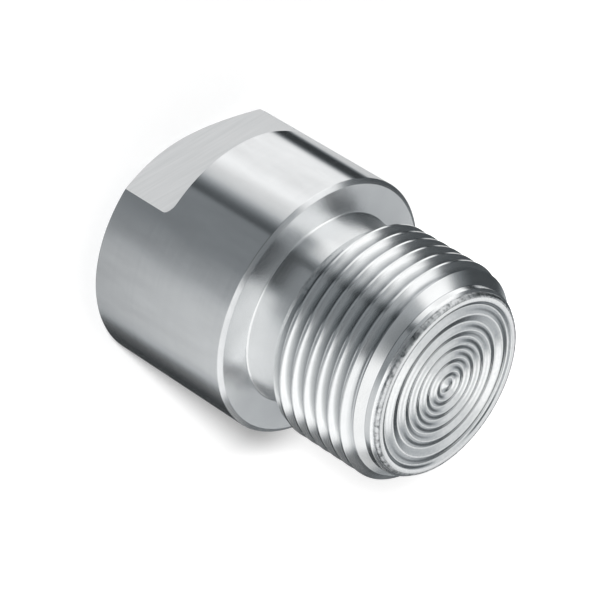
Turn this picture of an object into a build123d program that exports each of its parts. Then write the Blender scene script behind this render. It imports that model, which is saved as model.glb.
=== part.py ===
from build123d import *
from math import radians, tan
import os

# Diaphragm seal with a threaded process connection and a flush, corrugated diaphragm.
# Millimetres, standing on its back face: origin in the middle of that face, +Z towards the diaphragm.

os.makedirs("parts", exist_ok=True)

# Round body with two wrench flats
body_radius = 20.0
body_height = 28.5              # back face to shoulder
back_face_radius = 14.75
back_chamfer_angle = 30.0
flat_distance = 15.0            # axis to flat, 30 mm across flats
flat_length = 12.0
flat_corner_radius = 1.35
shoulder_edge_radial = 0.7
shoulder_edge_axial = 0.45

# Male process thread, G 1, as a plain cylinder over its crests
connection_length = 24.5        # shoulder to the diaphragm's rim
thread_major_radius = 16.6245
relief_radius = 14.7
relief_width = 5.3
relief_corner = 0.3

# Diaphragm: its crests and valleys lie at these shares of the corrugated radius
foil_radius = 13.6
foil_thickness = 0.1
rim_width = 0.6
valley_places = (0.098, 0.26, 0.42, 0.575, 0.748, 0.95)
crest_places = (0.0, 0.177, 0.338, 0.496, 0.661, 0.85)
crest_drop = 0.02
valley_drop = 0.25
fill_gap = 0.2

# Weld round the diaphragm, and the nose that carries both
weld_width = 0.5
weld_height = 0.65
weld_edge_width = 0.3
weld_edge_drop = 0.25
nose_edge_width = 0.4
nose_edge_drop = 0.25
nose_length = 0.975             # from the nose's edge back to the thread's 45 degree end chamfer

# Female instrument connection, G 1/2 at its minor diameter, with a thread relief at the bottom
socket_radius = 9.3155
socket_depth = 20.0
socket_mouth_chamfer = 1.3
socket_relief_depth = 1.285
socket_relief_width = 3.0
pressure_bore_radius = 1.5
cut_margin = 1.0                # how far a cut starts outside the solid

# Heights and radii that follow from these
rim_height = body_height + connection_length
land_height = rim_height - foil_thickness
bed_height = land_height - valley_drop - fill_gap
weld_seat_height = rim_height - weld_height
nose_height = weld_seat_height - nose_edge_drop
rim_inner_radius = foil_radius - rim_width
weld_seat_radius = foil_radius + weld_width
nose_radius = weld_seat_radius + nose_edge_width


def wave(height):
    """Points of the corrugations from the rim to the axis, under a rim at this height."""
    points = [(rim_inner_radius, height)]
    for crest, valley in zip(reversed(crest_places), reversed(valley_places)):
        points.append((valley * rim_inner_radius, height - valley_drop))
        points.append((crest * rim_inner_radius, height - crest_drop))
    return points


# Body: one turned bar with relief, thread, nose and the bed under the diaphragm
with BuildPart() as body:
    back_chamfer_height = (body_radius - back_face_radius) * tan(radians(back_chamfer_angle))
    relief_end_height = body_height + relief_width
    thread_start_height = relief_end_height + thread_major_radius - relief_radius
    nose_start_height = nose_height - nose_length
    thread_end_height = nose_start_height - (thread_major_radius - nose_radius)
    with BuildSketch(Plane.XZ):
        with BuildLine():
            Polyline(
                (0, 0),
                (back_face_radius, 0),
                (body_radius, back_chamfer_height),
                (body_radius, body_height - shoulder_edge_axial),
                (body_radius - shoulder_edge_radial, body_height),
                (relief_radius, body_height),
                (relief_radius, relief_end_height),
                (thread_major_radius, thread_start_height),
                (thread_major_radius, thread_end_height),
                (nose_radius, nose_start_height),
                (nose_radius, nose_height),
                (weld_seat_radius, weld_seat_height),
                (foil_radius, weld_seat_height),
                (foil_radius, land_height),
                (rim_inner_radius, land_height),
                (rim_inner_radius, bed_height),
                (0, bed_height),
                close=True,
            )
        make_face()
        chamfer(vertices().sort_by_distance((relief_radius, body_height))[0], length=relief_corner)
    revolve(axis=Axis.Z)

    # wrench flats, with the cutter's corner radius where they stop
    with BuildSketch(Plane.XZ):
        with Locations((flat_distance, flat_length)):
            Rectangle(body_radius, flat_length * 2, align=(Align.MIN, Align.MAX))
        fillet(vertices().sort_by_distance((flat_distance, flat_length))[0], radius=flat_corner_radius)
        mirror(about=Plane.YZ)
    extrude(amount=body_radius, both=True, mode=Mode.SUBTRACT)

    # threaded socket with its mouth chamfer and thread relief, and the pressure bore up to the bed
    with BuildSketch(Plane.XZ):
        with BuildLine():
            Polyline(
                (0, -cut_margin),
                (socket_radius + socket_mouth_chamfer + cut_margin, -cut_margin),
                (socket_radius, socket_mouth_chamfer),
                (socket_radius, socket_depth - socket_relief_width),
                (socket_radius + socket_relief_depth, socket_depth - socket_relief_width),
                (socket_radius + socket_relief_depth, socket_depth),
                (pressure_bore_radius, socket_depth),
                (pressure_bore_radius, rim_height),
                (0, rim_height),
                close=True,
            )
        make_face()
    revolve(axis=Axis.Z, mode=Mode.SUBTRACT)
body.part.label = "body"
export_step(body.part, "parts/body.step")


# Diaphragm: thin corrugated foil lying on the nose with its flat rim
with BuildPart() as diaphragm:
    with BuildSketch(Plane.XZ):
        with BuildLine():
            Polyline(
                (foil_radius, rim_height),
                *wave(rim_height),
                *reversed(wave(land_height)),
                (foil_radius, land_height),
                close=True,
            )
        make_face()
    revolve(axis=Axis.Z)
diaphragm.part.label = "diaphragm"
export_step(diaphragm.part, "parts/diaphragm.step")


# Weld seam: bead that joins the foil's edge to the nose all the way round
with BuildPart() as weld_seam:
    with BuildSketch(Plane.XZ):
        with BuildLine():
            Polyline(
                (foil_radius, weld_seat_height),
                (weld_seat_radius, weld_seat_height),
                (weld_seat_radius, rim_height - weld_edge_drop),
                (weld_seat_radius - weld_edge_width, rim_height),
                (foil_radius, rim_height),
                close=True,
            )
        make_face()
    revolve(axis=Axis.Z)
weld_seam.part.label = "weld_seam"
export_step(weld_seam.part, "parts/weld_seam.step")
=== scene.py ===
import bpy
import math
from mathutils import Matrix, Vector


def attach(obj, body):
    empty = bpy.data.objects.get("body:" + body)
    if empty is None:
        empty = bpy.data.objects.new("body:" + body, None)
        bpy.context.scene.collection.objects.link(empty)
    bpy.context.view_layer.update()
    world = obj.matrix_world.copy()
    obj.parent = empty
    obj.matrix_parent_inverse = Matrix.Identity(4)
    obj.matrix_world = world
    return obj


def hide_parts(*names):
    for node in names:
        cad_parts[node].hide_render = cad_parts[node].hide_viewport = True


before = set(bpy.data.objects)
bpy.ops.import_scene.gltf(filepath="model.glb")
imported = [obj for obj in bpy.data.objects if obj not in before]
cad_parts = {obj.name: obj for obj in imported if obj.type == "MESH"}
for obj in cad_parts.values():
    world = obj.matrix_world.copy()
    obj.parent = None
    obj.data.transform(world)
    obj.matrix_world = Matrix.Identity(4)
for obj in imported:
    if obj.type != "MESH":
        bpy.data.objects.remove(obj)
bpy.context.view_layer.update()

mm = 0.001                       # pieces are modelled in millimetres and scaled to metres when finished
joinDistance = 0.0002            # in millimetres; points nearer than this are one point


def clearSelection():
    if bpy.context.object and bpy.context.object.mode != "OBJECT":
        bpy.ops.object.mode_set(mode="OBJECT")
    bpy.ops.object.select_all(action="DESELECT")


def drawOutline(name, points):
    # a closed outline in the XZ plane, extruded point by point from a plane merged to one vertex
    clearSelection()
    bpy.ops.mesh.primitive_plane_add(size=1)
    piece = bpy.context.object
    piece.name = piece.data.name = name
    bpy.ops.object.mode_set(mode="EDIT")
    bpy.ops.mesh.select_mode(type="VERT")
    bpy.ops.mesh.select_all(action="SELECT")
    bpy.ops.mesh.merge(type="CENTER")
    bpy.ops.transform.translate(value=(points[0][0], 0, points[0][1]))
    points = points + points[:1]
    for (r1, z1), (r2, z2) in zip(points, points[1:]):
        bpy.ops.mesh.extrude_region_move(TRANSFORM_OT_translate={"value": (r2 - r1, 0, z2 - z1)})
    bpy.ops.mesh.select_all(action="SELECT")
    bpy.ops.mesh.remove_doubles(threshold=joinDistance)
    return piece


def closeUp(piece):
    # joins the seam and poles, drops what has no face and turns the faces outwards
    bpy.context.view_layer.objects.active = piece
    bpy.ops.object.mode_set(mode="EDIT")
    bpy.ops.mesh.select_all(action="SELECT")
    bpy.ops.mesh.remove_doubles(threshold=joinDistance)
    bpy.ops.mesh.delete_loose()
    bpy.ops.mesh.select_all(action="SELECT")
    bpy.ops.mesh.normals_make_consistent(inside=False)
    bpy.ops.object.mode_set(mode="OBJECT")


def turn(name, points, steps):
    # turns an outline round the seal's axis, as on a lathe
    piece = drawOutline(name, points)
    bpy.ops.mesh.select_all(action="SELECT")
    bpy.ops.mesh.spin(steps=steps, angle=math.tau, center=(0, 0, 0), axis=(0, 0, 1))
    closeUp(piece)
    return piece


def selectOpenEdges():
    bpy.ops.object.mode_set(mode="EDIT")
    bpy.ops.mesh.select_mode(type="EDGE")
    bpy.ops.mesh.select_all(action="DESELECT")
    bpy.ops.mesh.select_non_manifold()


def winding(name, points, facts):
    # a cutter that winds up the axis, right-handed, with both ends closed
    piece = drawOutline(name, points)
    bpy.ops.object.mode_set(mode="OBJECT")
    bpy.ops.object.modifier_add(type="SCREW")
    screw = piece.modifiers[-1]
    screw.angle, screw.screw_offset, screw.iterations = math.tau, facts["pitch"], facts["turns"]
    screw.steps = screw.render_steps = facts["steps"]
    bpy.ops.object.modifier_apply(modifier=screw.name)
    middle = points[0][1] + facts["turns"] * facts["pitch"] / 2
    for lower in (True, False):
        selectOpenEdges()
        bpy.ops.object.mode_set(mode="OBJECT")
        for edge in piece.data.edges:
            below = piece.data.vertices[edge.vertices[0]].co.z < middle
            edge.select = edge.select and below == lower
        bpy.ops.object.mode_set(mode="EDIT")
        bpy.ops.mesh.edge_face_add()
    closeUp(piece)
    return piece


def addBlock(size, place, heading=0.0):
    # a box to cut with, turned about the axis to its heading
    clearSelection()
    bpy.ops.mesh.primitive_cube_add(size=1, location=place)
    block = bpy.context.object
    block.scale, block.rotation_euler[2] = size, heading
    bpy.ops.object.transform_apply(location=True, rotation=True, scale=True)
    return block


def cut(piece, cutter):
    clearSelection()
    bpy.context.view_layer.objects.active = piece
    bpy.ops.object.modifier_add(type="BOOLEAN")
    boolean = piece.modifiers[-1]
    boolean.object, boolean.operation, boolean.solver = cutter, "DIFFERENCE", "EXACT"
    bpy.ops.object.modifier_apply(modifier=boolean.name)
    bpy.data.objects.remove(cutter)


def softCorners(corners, segments=4):
    # (radius, height, rounding) corners become a line of points with arcs
    points = []
    for i, (r, z, rounding) in enumerate(corners):
        if not rounding:
            points.append((r, z))
            continue
        here = Vector((r, z))
        before = (Vector(corners[i - 1][:2]) - here).normalized()
        after = (Vector(corners[(i + 1) % len(corners)][:2]) - here).normalized()
        half = before.angle(after) / 2
        centre = here + (before + after).normalized() * rounding / math.sin(half)
        start = here + before * rounding / math.tan(half) - centre
        sweep = start.angle_signed(here + after * rounding / math.tan(half) - centre)
        for k in range(segments + 1):
            arm = start.copy()
            arm.rotate(Matrix.Rotation(-sweep * k / segments, 2))
            points.append(tuple(centre + arm))
    return points


def finishPiece(piece, slot, *nodes, smooth=30):
    # scales to metres, shades and hands the piece to the frame
    clearSelection()
    bpy.context.view_layer.objects.active = piece
    piece.select_set(True)
    piece.scale = (mm, mm, mm)
    bpy.ops.object.transform_apply(location=True, rotation=True, scale=True)
    bpy.ops.object.shade_smooth_by_angle(angle=math.radians(smooth))
    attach(piece, "root")
    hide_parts(*nodes)


# the body, one turned bar with two milled wrench flats
body = {
    "steps": 256,                # faces round the bar
    # radius, height and rounding of every turned corner, from the pressure bore round the outside and back
    "corners": [
        (1.5, 20.0, 0), (10.6, 20.0, 0.3), (10.6, 17.0, 0), (9.3155, 17.0, 0), (9.3155, 1.3, 0),
        (10.6155, 0, 0.1), (14.75, 0, 0.25), (20.0, 3.031, 0.2), (20.0, 28.05, 0.2), (19.3, 28.5, 0.12),
        (14.7, 28.5, 0.35), (14.7, 33.8, 0.35), (16.6245, 35.7245, 0.1), (16.6245, 49.0, 0.1),
        (14.5, 51.1245, 0.12), (14.5, 52.1, 0.12), (14.1, 52.35, 0.05), (13.6, 52.35, 0), (13.6, 52.9, 0),
        (13.0, 52.9, 0), (13.0, 52.28, 0), (1.5, 52.28, 0),
    ],
    "radius": 20.0, "flatDistance": 15.0, "flatLength": 12.0,
    "flatCorner": 1.35, "cornerSegments": 12,                # the milling cutter's own corner
    "edgeBreak": 0.06,                                       # taken off the sharp edges beside the flats
    "cutterDepth": 10.0, "cutterWidth": 60, "cutterLength": 20.0, "breakerWidth": 4,
    "margin": 0.1,                                           # for finding the cutter's edge
}
sealBody = turn("seal_body", softCorners(body["corners"]), body["steps"])
depth, length = body["cutterDepth"], body["cutterLength"]
for side in (1, -1):
    away = side * (body["flatDistance"] + depth / 2)
    mill = addBlock((depth, body["cutterWidth"], length), (away, 0, body["flatLength"] - length / 2))
    for edge in mill.data.edges:
        ends = [mill.data.vertices[i].co for i in edge.vertices]
        edge.select = all(abs(p.x) < body["flatDistance"] + body["margin"]
                          and p.z > body["flatLength"] - body["margin"] for p in ends)
    for face in mill.data.polygons:
        face.select = False
    bpy.ops.object.mode_set(mode="EDIT")
    bpy.ops.mesh.select_mode(type="EDGE")
    bpy.ops.mesh.bevel(offset=body["flatCorner"], segments=body["cornerSegments"])
    bpy.ops.object.mode_set(mode="OBJECT")
    cut(sealBody, mill)
    for end in (1, -1):
        # breaks the sharp edge between the flat and the round
        lean = math.acos(body["flatDistance"] / body["radius"]) / 2
        away = body["radius"] * math.cos(lean) - body["edgeBreak"] + depth / 2
        heading = end * lean if side > 0 else math.pi - end * lean
        height = body["flatLength"] - body["flatCorner"] - length / 2
        place = (away * math.cos(heading), away * math.sin(heading), height)
        cut(sealBody, addBlock((depth, body["breakerWidth"], length), place, heading))
print("body turned and flats milled")

# outer thread, 55 degree form, 11 to the inch; its crests are rounded less than the standard's
thread = {
    "pitch": 2.309, "turns": 10, "steps": 192, "start": 30.585,
    "majorRadius": 16.6245, "depth": 1.479, "rootRound": 0.317, "crestRound": 0.08, "flankAngle": 27.5,
    "rootAngles": (90, 69, 48, 27.5), "crestAngles": (27.5, 48, 69),       # points of the two roundings
    "crestLift": 0.012, "crestStep": 0.046, "cutReach": 0.5,               # how the cutter leaves the bar
}
flank = math.radians(thread["flankAngle"])
slope = math.tan(flank)
rootCentre = thread["depth"] - thread["rootRound"]
flankAtMajor = slope * rootCentre + thread["rootRound"] / math.cos(flank)
crestCentre = flankAtMajor + thread["crestRound"] * math.tan(math.radians(45 - thread["flankAngle"] / 2))
halfGroove = []                  # depth under the crest and half width of the groove
for angle in thread["rootAngles"]:
    a = math.radians(angle)
    halfGroove.append((rootCentre + thread["rootRound"] * math.sin(a), thread["rootRound"] * math.cos(a)))
for angle in thread["crestAngles"]:
    a = math.radians(angle)
    halfGroove.append((thread["crestRound"] * (1 - math.sin(a)), crestCentre - thread["crestRound"] * math.cos(a)))
halfGroove.append((-thread["crestLift"], halfGroove[-1][1] + thread["crestStep"]))
halfGroove.append((-thread["cutReach"], halfGroove[-1][1]))
grooveSide = [(thread["majorRadius"] - d, w) for d, w in halfGroove]
groove = [(r, thread["start"] + w) for r, w in grooveSide]
groove += [(r, thread["start"] - w) for r, w in reversed(grooveSide[1:])]
cut(sealBody, winding("thread_cutter", groove, thread))
print("outer thread cut")

# inner thread of the instrument socket, 14 to the inch, with plain flanks of nearly its standard angle
socket = {
    "pitch": 1.814, "turns": 11, "steps": 96, "start": -1.2,
    "minorRadius": 9.3155, "depth": 1.162,
    "wide": 0.756, "narrow": 0.16, "tip": 0.05,              # half widths at the bore and the root, and its tip
    "reach": 0.1,                                            # how far the cutter starts inside the bore
}
inner, root = socket["minorRadius"] - socket["reach"], socket["minorRadius"] + socket["depth"]
groove = [
    (inner, socket["start"] - socket["wide"] - slope * socket["reach"]),
    (root - socket["tip"], socket["start"] - socket["narrow"]),
    (root, socket["start"]),
    (root - socket["tip"], socket["start"] + socket["narrow"]),
    (inner, socket["start"] + socket["wide"] + slope * socket["reach"]),
]
cut(sealBody, winding("socket_cutter", groove, socket))
selectOpenEdges()
bpy.ops.mesh.fill_holes(sides=0)                             # hair slits that the cuts leave on the crests
bpy.ops.object.mode_set(mode="OBJECT")
finishPiece(sealBody, "turned_stainless", "body")
print("inner thread cut", len(sealBody.data.polygons))

# the diaphragm, a pressed foil; its waves run from a crest at the axis to a valley beside the rim
foil = {
    "steps": 256, "top": 53.0, "thickness": 0.1, "radius": 13.6, "rimInner": 13.0,
    "crestDrop": 0.02, "valleyDrop": 0.25,                   # below the top of the rim
    "valleys": (1.27, 3.38, 5.46, 7.47, 9.72, 12.35), "crests": (0, 2.3, 4.4, 6.45, 8.6, 11.05),
    "topSegments": 12, "underSegments": 6,                   # for each flank; the underside is hidden
}


def waveLine(height, segments):
    # the pressed waves from the rim to the axis, a cosine between each crest and valley
    stops = [(foil["rimInner"], height)]
    for crest, valley in zip(reversed(foil["crests"]), reversed(foil["valleys"])):
        stops += [(valley, height - foil["valleyDrop"]), (crest, height - foil["crestDrop"])]
    line = [stops[0]]
    for (r1, z1), (r2, z2) in zip(stops, stops[1:]):
        for k in range(1, segments + 1):
            share = k / segments
            line.append((r1 + (r2 - r1) * share, z1 + (z2 - z1) * (1 - math.cos(math.pi * share)) / 2))
    return line


under = foil["top"] - foil["thickness"]
outline = [(foil["radius"], foil["top"])] + waveLine(foil["top"], foil["topSegments"])
outline += waveLine(under, foil["underSegments"])[::-1] + [(foil["radius"], under)]
diaphragm = turn("diaphragm_foil", outline, foil["steps"])
finishPiece(diaphragm, "foil_stainless", "diaphragm")
print("diaphragm pressed", len(diaphragm.data.polygons))

# the weld, a rippled bead round the foil's edge
weld = {
    "corners": [(13.6, 52.35, 0), (14.1, 52.35, 0), (14.1, 52.72, 0.22), (13.85, 53.0, 0.18), (13.6, 53.0, 0)],
    "ripples": 230, "ripple": 0.9975,                        # how many, and the share to which each one draws in
    "outerRadius": 13.9, "outerHeight": 52.4, "middle": 52.7, "smooth": 50,
}
weldSeam = turn("weld_seam_bead", softCorners(weld["corners"]), weld["ripples"] * 2)
for vertex in weldSeam.data.vertices:
    column = round(math.atan2(vertex.co.y, vertex.co.x) / math.tau * weld["ripples"] * 2)
    outer = math.hypot(vertex.co.x, vertex.co.y) > weld["outerRadius"] and vertex.co.z > weld["outerHeight"]
    vertex.select = bool(column % 2 and outer)
bpy.ops.object.mode_set(mode="EDIT")
bpy.ops.transform.resize(value=(weld["ripple"], weld["ripple"], 1), center_override=(0, 0, weld["middle"]))
bpy.ops.object.mode_set(mode="OBJECT")
finishPiece(weldSeam, "weld_stainless", "weld_seam", smooth=weld["smooth"])
print("weld laid", len(weldSeam.data.polygons))


def hexColor(code):
    # sRGB hex to linear
    channels = [int(code[i:i + 2], 16) / 255 for i in (1, 3, 5)]
    return [c / 12.92 if c <= 0.04045 else ((c + 0.055) / 1.055) ** 2.4 for c in channels] + [1]


def addNode(tree, kind, settings=None, links=None):
    node = tree.nodes.new(kind)
    for name, value in (settings or {}).items():
        if isinstance(name, int) or name in node.inputs:
            node.inputs[name].default_value = value
        else:
            setattr(node, name, value)
    for name, source in (links or {}).items():
        tree.links.new(source, node.inputs[name])
    return node


def newMaterial(name):
    material = bpy.data.materials.new(name)
    material.use_nodes = True
    material.node_tree.nodes.clear()
    return material, material.node_tree


def turnedSteel(name, facts):
    # metal cut on a lathe: its lines vary with radius and height only, so they run round the axis
    material, tree = newMaterial(name)
    place = addNode(tree, "ShaderNodeTexCoord").outputs["Object"]
    axes = addNode(tree, "ShaderNodeSeparateXYZ", links={0: place})
    flatPlace = addNode(tree, "ShaderNodeCombineXYZ", links={0: axes.outputs[0], 1: axes.outputs[1]})
    radius = addNode(tree, "ShaderNodeVectorMath", {"operation": "LENGTH"}, {0: flatPlace.outputs[0]})
    lathe = addNode(tree, "ShaderNodeCombineXYZ", links={0: radius.outputs["Value"], 1: axes.outputs[2]})
    lines = addNode(tree, "ShaderNodeTexNoise",
                    {"Scale": 1 / (facts["lineSpacing"] * mm), "Detail": 2.0, "Roughness": 0.6},
                    {"Vector": lathe.outputs[0]})
    color = addNode(tree, "ShaderNodeMix",
                    {"data_type": "RGBA", 6: hexColor(facts["dark"]), 7: hexColor(facts["light"])},
                    {0: lines.outputs["Fac"]})
    if "root" in facts:
        # painted shade: a thread's colour darkens towards its root, where its grooves lie in shade
        depth = addNode(tree, "ShaderNodeMapRange",
                        {"From Min": facts["rootRadius"] * mm, "From Max": facts["crestRadius"] * mm},
                        {"Value": radius.outputs["Value"]})
        color = addNode(tree, "ShaderNodeMix", {"data_type": "RGBA", 6: hexColor(facts["root"])},
                        {0: depth.outputs[0], 7: color.outputs[2]})
    # clouds of slightly duller metal, longer along the axis
    size = [1 / (s * facts["cloudSize"] * mm) for s in (1, 1, facts["cloudLength"])]
    stretch = addNode(tree, "ShaderNodeMapping", {"Scale": size}, {"Vector": place})
    clouds = addNode(tree, "ShaderNodeTexNoise", {"Scale": 1.0, "Detail": 3.0}, {"Vector": stretch.outputs[0]})
    clouds = addNode(tree, "ShaderNodeMapRange",
                     {"From Min": 0.3, "From Max": 0.7, "To Min": 1 - facts["cloud"], "To Max": 1.0},
                     {"Value": clouds.outputs["Fac"]})
    color = addNode(tree, "ShaderNodeMix", {"data_type": "RGBA", "blend_type": "MULTIPLY", 0: 1.0},
                    {6: color.outputs[2], 7: clouds.outputs[0]})
    rough = addNode(tree, "ShaderNodeMapRange",
                    {"To Min": facts["roughness"][0], "To Max": facts["roughness"][1]},
                    {"Value": lines.outputs["Fac"]})
    bump = addNode(tree, "ShaderNodeBump", {"Strength": facts["bump"], "Distance": facts["lineDepth"] * mm},
                   {"Height": lines.outputs["Fac"]})
    tangent = addNode(tree, "ShaderNodeTangent", {"direction_type": "RADIAL", "axis": "Z"})
    steel = addNode(tree, "ShaderNodeBsdfPrincipled",
                    {"Metallic": 1.0, "Anisotropic": facts["anisotropic"], "Anisotropic Rotation": 0.25},
                    {"Base Color": color.outputs[2], "Roughness": rough.outputs[0],
                     "Normal": bump.outputs[0], "Tangent": tangent.outputs[0]})
    addNode(tree, "ShaderNodeOutputMaterial", links={"Surface": steel.outputs[0]})
    return material


def plainSteel(name, facts):
    # steel with no lathe lines: a grain of its own size along each axis
    material, tree = newMaterial(name)
    place = addNode(tree, "ShaderNodeTexCoord").outputs["Object"]
    stretch = addNode(tree, "ShaderNodeMapping", {"Scale": [1 / (s * mm) for s in facts["grain"]]},
                      {"Vector": place})
    grain = addNode(tree, "ShaderNodeTexNoise", {"Scale": 1.0, "Detail": 3.0, "Roughness": 0.6},
                    {"Vector": stretch.outputs[0]})
    contrast = addNode(tree, "ShaderNodeMapRange",
                       {"From Min": facts["spread"][0], "From Max": facts["spread"][1]},
                       {"Value": grain.outputs["Fac"]})
    color = addNode(tree, "ShaderNodeMix",
                    {"data_type": "RGBA", 6: hexColor(facts["dark"]), 7: hexColor(facts["light"])},
                    {0: contrast.outputs[0]})
    rough = addNode(tree, "ShaderNodeMapRange",
                    {"To Min": facts["roughness"][0], "To Max": facts["roughness"][1]},
                    {"Value": grain.outputs["Fac"]})
    bump = addNode(tree, "ShaderNodeBump", {"Strength": facts["bump"], "Distance": facts["depth"] * mm},
                   {"Height": grain.outputs["Fac"]})
    steel = addNode(tree, "ShaderNodeBsdfPrincipled", {"Metallic": 1.0},
                    {"Base Color": color.outputs[2], "Roughness": rough.outputs[0], "Normal": bump.outputs[0]})
    addNode(tree, "ShaderNodeOutputMaterial", links={"Surface": steel.outputs[0]})
    return material


# Stainless steel bar, turned on a lathe: its round lines stretch each light along the axis into a soft band.
# Real feed lines are about 0.1 mm apart, too fine to show, so these are 0.35 mm.
barSteel = turnedSteel("turned stainless steel bar", {
    "dark": "#dcdedf", "light": "#e6e7e8", "lineSpacing": 0.35, "lineDepth": 0.001, "bump": 0.4,
    "roughness": (0.22, 0.27), "anisotropic": 1.0, "cloudSize": 2.5, "cloudLength": 4, "cloud": 0.09,
})
# The same bar turned with a finer feed, at the neck and nose: brighter, with sharper edges to its lights. Its
# lines are 0.3 mm apart, also coarser than real ones so that they show.
fineFacts = {
    "dark": "#e6e8e9", "light": "#edeeee", "lineSpacing": 0.3, "lineDepth": 0.001, "bump": 0.4,
    "roughness": (0.19, 0.26), "anisotropic": 0.8, "cloudSize": 4.0, "cloudLength": 4, "cloud": 0.06,
}
fineSteel = turnedSteel("fine-turned stainless steel", fineFacts)
# Faced on the lathe, the shoulder has rings round the axis, so its lights fan out from the middle. The rings are
# 0.3 mm apart for the same reason.
facedSteel = turnedSteel("faced stainless steel", {
    "dark": "#e6e8e9", "light": "#e9eaeb", "lineSpacing": 0.3, "lineDepth": 0.001, "bump": 0.12,
    "roughness": (0.25, 0.28), "anisotropic": 0.85, "cloudSize": 5.0, "cloudLength": 4, "cloud": 0.08,
})
# The thread, cut into the same bar: bright on its crests, with painted shade that greys its grooves towards the root.
threadSteel = turnedSteel("threaded stainless steel", {
    # root: colour of the painted shade, full at rootRadius and gone at crestRadius
    **fineFacts, "root": "#bcbfc1", "rootRadius": 15.2, "crestRadius": 16.0,
})
# The wrench flats are milled across, which leaves long faint marks half a millimetre wide and a matt, even grey.
milledSteel = plainSteel("milled stainless steel", {
    "dark": "#c0c2c3", "light": "#cfd0d1", "grain": (0.5, 12.0, 0.5), "spread": (0.25, 0.75),
    "roughness": (0.36, 0.44), "bump": 0.3, "depth": 0.002,
})
# Rolled foil, pressed into its waves: the smoothest steel here, with clear thin lights. A rolled grain is finer
# than 0.1 mm, so it is drawn at 0.5 mm to show.
foilSteel = plainSteel("pressed stainless steel foil", {
    "dark": "#e2e4e5", "light": "#ebecec", "grain": (0.5, 0.5, 0.5), "spread": (0.3, 0.7),
    "roughness": (0.14, 0.2), "bump": 0.1, "depth": 0.002,
})
# Fused steel left as it was welded: uneven, with dark patches of oxide between bright ripples.
weldSteel = plainSteel("welded stainless steel", {
    "dark": "#6c7072", "light": "#d6d8d9", "grain": (0.8, 0.8, 0.8), "spread": (0.32, 0.56),
    "roughness": (0.25, 0.4), "bump": 0.8, "depth": 0.03,
})

# where each finish lies on the body, in millimetres; straight and cone are parts of a face's normal
finishPlaces = {
    "flatNear": 0.02, "flatCorner": (10.6, 12.01), "cornerRadii": (15, 19.95),
    "shoulder": (28.48, 29), "thread": (35, 51.2), "threadRadius": 16.6,
    "neck": 28.5, "straight": 0.99, "cone": (0.707, 0.03),   # cone: the 45 degree chamfers, and how near to them
}


def finishOf(face):
    x, y, z = (c / mm for c in face.center)
    radius = math.hypot(x, y)
    places = finishPlaces
    onFlat = abs(abs(x) - body["flatDistance"]) < places["flatNear"] and abs(face.normal.x) > places["straight"]
    inCorner = (places["flatCorner"][0] < z < places["flatCorner"][1]
                and places["cornerRadii"][0] < radius < places["cornerRadii"][1])
    if onFlat or inCorner:
        return milledSteel
    if places["shoulder"][0] < z < places["shoulder"][1] and face.normal.z > places["straight"]:
        return facedSteel
    onCone = abs(face.normal.z - places["cone"][0]) <= places["cone"][1]
    if places["thread"][0] < z < places["thread"][1] and radius < places["threadRadius"] and not onCone:
        return threadSteel
    return fineSteel if z > places["neck"] else barSteel


bodyFinishes = [barSteel, fineSteel, facedSteel, milledSteel, threadSteel]
for finish in bodyFinishes:
    sealBody.data.materials.append(finish)
for face in sealBody.data.polygons:
    face.material_index = bodyFinishes.index(finishOf(face))
diaphragm.data.materials.append(foilSteel)
weldSeam.data.materials.append(weldSteel)
print("materials given")

# key lamp, a wide sun that throws the soft shadow; headings and heights are in degrees
key = {"heading": 34.5, "height": 30, "spread": 7, "strength": 4.0}

# the floor, white paper; to the camera alone it also glows, painted light that brings it to white round the shadow
floorFacts = {
    "size": 3.0, "color": "#f4f4f4",                         # size in metres
    "glow": 0.14, "shadeGlow": 0.05, "shadeHalf": (17, 22),  # glow beside the shadow, lower glow in it as painted shadow, and the strip's half width
    "leadIn": 10,                                            # full on the lamp's side of the axis, from this far back
    "farGlow": 0.5, "fadeStart": 49, "fadeEnd": 64,          # painted light: away from the seal the glow turns the paper, and the lamp's shadow there, pure white
}
clearSelection()
bpy.ops.mesh.primitive_plane_add(size=floorFacts["size"])
floor = bpy.context.object
floor.name = "floor"
floorPaper, tree = newMaterial("white studio paper")         # matt sheet; the lamp's shadow and the painted glow mark it
paper = addNode(tree, "ShaderNodeBsdfDiffuse", {"Color": hexColor(floorFacts["color"])})
rays = addNode(tree, "ShaderNodeLightPath")
spot = addNode(tree, "ShaderNodeTexCoord").outputs["Object"]
fromAxis = addNode(tree, "ShaderNodeVectorMath", {"operation": "LENGTH"}, {0: spot}).outputs["Value"]
across = math.radians(key["heading"] + 90)
aside = addNode(tree, "ShaderNodeVectorMath",
                {"operation": "DOT_PRODUCT", 1: (math.cos(across), math.sin(across), 0)}, {0: spot})
ahead = addNode(tree, "ShaderNodeVectorMath",
                {"operation": "DOT_PRODUCT", 1: (math.sin(across), -math.cos(across), 0)}, {0: spot})
ahead = addNode(tree, "ShaderNodeMapRange",
                {"From Min": -floorFacts["leadIn"] * mm, "From Max": 0.0, "To Max": floorFacts["glow"]},
                {"Value": ahead.outputs["Value"]})
aside = addNode(tree, "ShaderNodeMath", {"operation": "ABSOLUTE"}, {0: aside.outputs["Value"]})
# painted shadow: the glow drops in a strip along the lamp's shadow behind the seal
near = addNode(tree, "ShaderNodeMapRange", {
    "interpolation_type": "SMOOTHSTEP",
    "From Min": floorFacts["shadeHalf"][0] * mm, "From Max": floorFacts["shadeHalf"][1] * mm,
    "To Min": floorFacts["shadeGlow"], "To Max": floorFacts["glow"],
}, {"Value": aside.outputs[0]})
near = addNode(tree, "ShaderNodeMath", {"operation": "MAXIMUM"}, {0: near.outputs[0], 1: ahead.outputs[0]})
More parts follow.
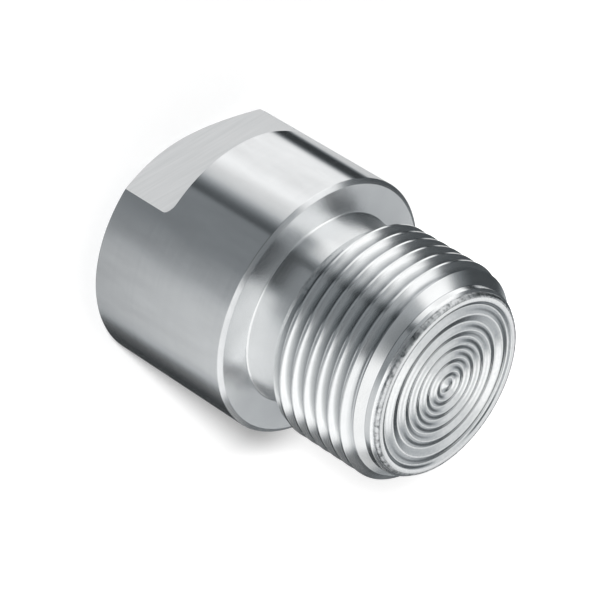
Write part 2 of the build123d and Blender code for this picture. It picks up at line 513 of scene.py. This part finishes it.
# painted light: far from the axis the glow washes the lamp's shadow out
far = addNode(tree, "ShaderNodeMapRange", {
    "interpolation_type": "SMOOTHSTEP",
    "From Min": floorFacts["fadeStart"] * mm, "From Max": floorFacts["fadeEnd"] * mm,
    "To Min": 0.0, "To Max": floorFacts["farGlow"],
}, {"Value": fromAxis})
glow = addNode(tree, "ShaderNodeMath", {"operation": "ADD"}, {0: near.outputs[0], 1: far.outputs[0]})
glow = addNode(tree, "ShaderNodeMath", {"operation": "MULTIPLY"},
               {0: rays.outputs["Is Camera Ray"], 1: glow.outputs[0]})
glow = addNode(tree, "ShaderNodeEmission", {"Color": (1, 1, 1, 1)}, {"Strength": glow.outputs[0]})
both = addNode(tree, "ShaderNodeAddShader", links={0: paper.outputs[0], 1: glow.outputs[0]})
addNode(tree, "ShaderNodeOutputMaterial", links={"Surface": both.outputs[0]})
floor.data.materials.append(floorPaper)
floor.visible_glossy = False     # the steel sees the studio's soft boxes through it, down to their feet
print("floor laid")


def uprightBoxes(front, side):
    # what the body, neck and nose mirror; on faces that lean down two of the boxes are darker
    return [
        (0, 21, 4, 1.28), (-2, 5, 5, 1.08), (24, 8, 8, 0.85), (28, 5.5, 5.5, 0.1), (44, 17.6, 0.4, front),
        (-68, 37, 3.5, 0.98), (-26, 4, 2.5, 0.05), (79.5, 17.5, 10, side), (114, 12, 5, 0.04),
        (222, 50, 15, 0.9),
    ]


# what the foil mirrors
foilBoxes = [
    (14.5, 25, 8, 0.82), (194.5, 25, 8, 0.82), (69.5, 31, 8, 1.25), (249.5, 31, 8, 1.25), (109, 2, 3, 0.35),
]
# The studio that the steel mirrors, painted for this camera's view alone. The soft boxes are laid out by the
# direction halfway between the one to the camera and each mirrored ray, which is the normal of the face that
# shows that ray to this camera. They were fitted to this view, and seen from elsewhere the lights are only
# where that painting puts them.
studio = {
    "towards": (0.632, 0.539, 0.557),                        # the direction from the seal to the camera
    # each set serves the faces that lean by one amount: height of the normal where the set starts and is full,
    # its base brightness, then its boxes: heading, half width and soft edge in degrees, brightness; a later box
    # covers an earlier one
    "sets": [
        (-1, -1, 0.27, uprightBoxes(front=0.27, side=0.18)),                # faces that lean down
        (-0.14, -0.04, 0.33, uprightBoxes(front=0.33, side=0.8)),           # upright faces
        (0.2, 0.42, 0.1, [                                                  # roundings beside them
            (12, 10, 6, 0.42), (-1.5, 9, 5, 1.4), (31, 9, 6, 0.05), (78, 30, 5, 1.2), (124, 13, 5, 0.08),
            (-34, 14, 8, 0.1),
        ]),
        (0.66, 0.69, 0.52, [                                                # 45 degree cone of the nose
            (26, 12, 6, 0.48), (12, 10, 6, 0.55), (-2.5, 11, 6, 1.1), (86, 42, 9, 1.08), (-44, 20, 9, 0.08),
        ]),
        (0.77, 0.8, 0.1, [                                                  # chamfer round the shoulder
            (12, 10, 6, 0.42), (-2.5, 10, 6, 1.5), (31, 9, 6, 0.23), (77.5, 27.5, 5, 1.6), (124, 13, 5, 0.02),
            (-34, 14, 8, 0.1),
        ]),
        (0.862, 0.872, 0.3, [                                               # flanks of the thread
            (-34, 16, 6, 0.13), (4, 16, 6, 0.75), (36, 12, 6, 0.12), (77, 22, 6, 0.36),
        ]),
        (0.9, 0.92, 0.85, [(222, 114, 22, 0.13)]),                          # steepest parts of the waves
        (0.957, 0.971, 0.6, foilBoxes + [(222, 62, 20, 0.06)]),             # flanks of the waves
        (0.99, 0.996, 0.6, foilBoxes),                                      # level faces
    ],
    "shade": "#dde8f0",                                      # the dim parts are a little blue
    "lampLevel": 0.35,                                       # even light for whatever doesn't mirror
}
world = bpy.data.worlds.new("studio")
bpy.context.scene.world = world
world.use_nodes = True
tree = world.node_tree
tree.nodes.clear()
direction = addNode(tree, "ShaderNodeTexCoord").outputs["Generated"]
lean = addNode(tree, "ShaderNodeVectorMath", {"operation": "ADD", 1: studio["towards"]}, {0: direction})
lean = addNode(tree, "ShaderNodeVectorMath", {"operation": "NORMALIZE"}, {0: lean.outputs[0]}).outputs[0]
axes = addNode(tree, "ShaderNodeSeparateXYZ", links={0: lean})
level = addNode(tree, "ShaderNodeCombineXYZ", links={0: axes.outputs[0], 1: axes.outputs[1]})
level = addNode(tree, "ShaderNodeVectorMath", {"operation": "NORMALIZE"}, {0: level.outputs[0]}).outputs[0]
mirrored = None
for start, full, base, boxes in studio["sets"]:
    light = addNode(tree, "ShaderNodeValue")
    light.outputs[0].default_value = base
    light = light.outputs[0]
    for heading, halfWidth, edge, brightness in boxes:
        a = math.radians(heading)
        facing = addNode(tree, "ShaderNodeVectorMath",
                         {"operation": "DOT_PRODUCT", 1: (math.cos(a), math.sin(a), 0)}, {0: level})
        mask = addNode(tree, "ShaderNodeMapRange", {
            "interpolation_type": "SMOOTHSTEP",
            "From Min": math.cos(math.radians(halfWidth + edge)),
            "From Max": math.cos(math.radians(max(halfWidth - edge, 0))),
        }, {"Value": facing.outputs["Value"]})
        light = addNode(tree, "ShaderNodeMix", {3: brightness}, {0: mask.outputs[0], 2: light}).outputs[0]
    if mirrored:
        height = addNode(tree, "ShaderNodeMapRange",
                         {"interpolation_type": "SMOOTHSTEP", "From Min": start, "From Max": full},
                         {"Value": axes.outputs[2]})
        light = addNode(tree, "ShaderNodeMix", links={0: height.outputs[0], 2: mirrored, 3: light}).outputs[0]
    mirrored = light
tint = addNode(tree, "ShaderNodeMix", {"data_type": "RGBA", 6: hexColor(studio["shade"]), 7: (1, 1, 1, 1)},
               {0: mirrored})
# mirrored rays see the boxes, the camera sees plain white, and all else gets an even light
path = addNode(tree, "ShaderNodeLightPath")
shiny = addNode(tree, "ShaderNodeMath", {"operation": "MAXIMUM"},
                {0: path.outputs["Is Glossy Ray"], 1: path.outputs["Is Transmission Ray"]})
lit = addNode(tree, "ShaderNodeMix", {2: studio["lampLevel"]}, {0: shiny.outputs[0], 3: mirrored})
shown = addNode(tree, "ShaderNodeMix", {3: 1.0}, {0: path.outputs["Is Camera Ray"], 2: lit.outputs[0]})
tone = addNode(tree, "ShaderNodeMix", {"data_type": "RGBA", 6: (1, 1, 1, 1)},
               {0: shiny.outputs[0], 7: tint.outputs[2]})
sky = addNode(tree, "ShaderNodeBackground", links={"Color": tone.outputs[2], "Strength": shown.outputs[0]})
addNode(tree, "ShaderNodeOutputWorld", links={"Surface": sky.outputs[0]})

clearSelection()
bpy.ops.object.light_add(type="SUN")
lamp = bpy.context.object
lamp.name = "key lamp"
a, e = math.radians(key["heading"]), math.radians(key["height"])
lamp.location = Vector((math.cos(a) * math.cos(e), math.sin(a) * math.cos(e), math.sin(e)))
lamp.rotation_euler = lamp.location.to_track_quat("Z", "Y").to_euler()
lamp.data.angle, lamp.data.energy = math.radians(key["spread"]), key["strength"]
lamp.visible_glossy = False      # it lights the floor; the steel mirrors only the painted boxes
print("studio lit")

# the camera, placed in millimetres and turned in degrees; clip is in metres
camera = {
    "place": (295.83, 253.06, 285.95), "turn": (-38.152, -44.875, -91.485),
    "lens": 198.0, "sensor": 36, "clip": (0.01, 20),
}
bpy.ops.object.camera_add(
    location=[c * mm for c in camera["place"]], rotation=[math.radians(a) for a in camera["turn"]])
eye = bpy.context.object
eye.data.lens, eye.data.sensor_width = camera["lens"], camera["sensor"]
eye.data.clip_start, eye.data.clip_end = camera["clip"]
bpy.context.scene.camera = eye
bpy.context.scene.view_settings.view_transform = "Standard"
print("camera set")
